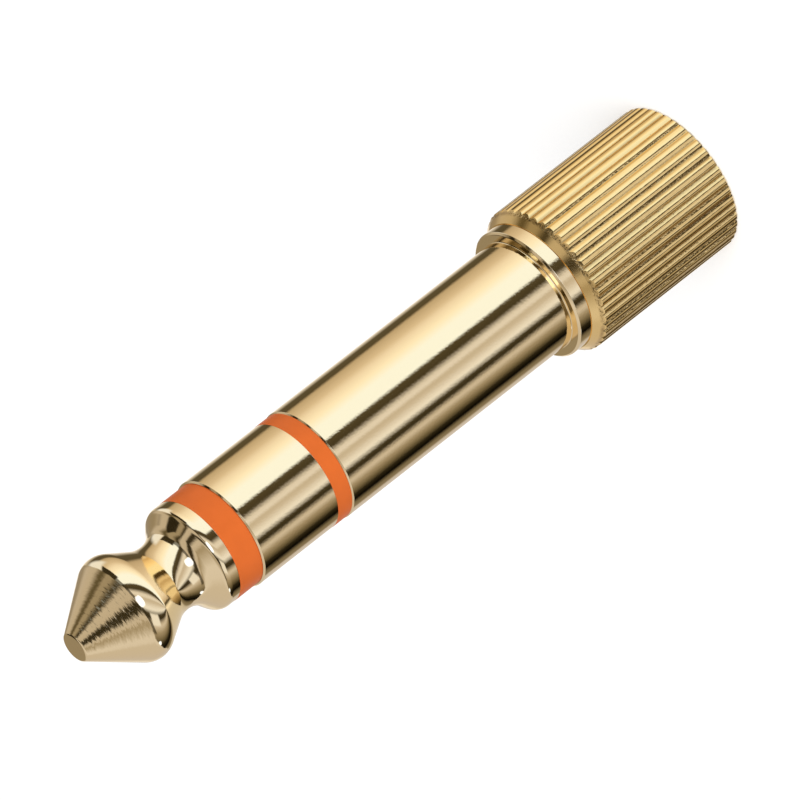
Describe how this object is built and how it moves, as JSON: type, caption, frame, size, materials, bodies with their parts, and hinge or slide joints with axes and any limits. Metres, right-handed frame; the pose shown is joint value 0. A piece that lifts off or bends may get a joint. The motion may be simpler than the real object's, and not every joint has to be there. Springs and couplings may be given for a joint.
{
  "type": "audio jack adapter",
  "caption": "Gold plated adapter that turns a 3.5 mm stereo plug into a 6.35 mm stereo plug, with a knurled shell and a sprung socket.",
  "frame": {"origin": "centre of the rear face, where the 3.5 mm plug goes in", "axes": "+Z along the axis towards the tip of the 6.35 mm plug; X and Y across it"},
  "size_m": [0.0084, 0.0084, 0.0424],
  "materials": {
    "plug_gold": "polished thin gold plating over turned brass",
    "shell_gold": "gold plating over a knurled turned shell",
    "plain_brass": "turned or stamped, plain",
    "spring_bronze": "gold flashed spring strip",
    "orange_plastic": "satin moulded",
    "black_plastic": "matt moulded",
    "fibre": "matt punched sheet"
  },
  "bodies": {
    "plug": {"tip_contact": "plug_gold", "centre_rod": "plain_brass", "tip_insulator": "orange_plastic", "ring_contact": "plug_gold", "ring_insulator": "orange_plastic", "plug_sleeve": "plug_gold", "knurled_shell": "shell_gold", "socket_bush": "plug_gold", "socket_insert": "black_plastic", "sleeve_washer": "fibre", "ring_terminal": "plain_brass", "terminal_washer": "fibre", "tip_terminal": "plain_brass"},
    "tip_leaf": {"tip_spring": "spring_bronze"},
    "ring_leaf": {"ring_spring": "spring_bronze"},
    "sleeve_leaf": {"sleeve_spring": "spring_bronze"}
  },
  "joints": [
    {"name": "tip_spring_flex", "type": "hinge", "parent": "plug", "child": "tip_leaf", "pos_m": [0, 0.00235, 0.016], "axis": [1, 0, 0], "range_deg": [0, 4], "stiffness_Nm_per_rad": 0.15},
    {"name": "ring_spring_flex", "type": "hinge", "parent": "plug", "child": "ring_leaf", "pos_m": [-0.00204, -0.00118, 0.0171], "axis": [-0.5, 0.866, 0], "range_deg": [0, 2.2], "stiffness_Nm_per_rad": 0.15},
    {"name": "sleeve_spring_flex", "type": "hinge", "parent": "plug", "child": "sleeve_leaf", "pos_m": [0.00204, -0.00118, 0.0104], "axis": [-0.5, -0.866, 0], "range_deg": [0, 3.5], "stiffness_Nm_per_rad": 0.15}
  ]
}
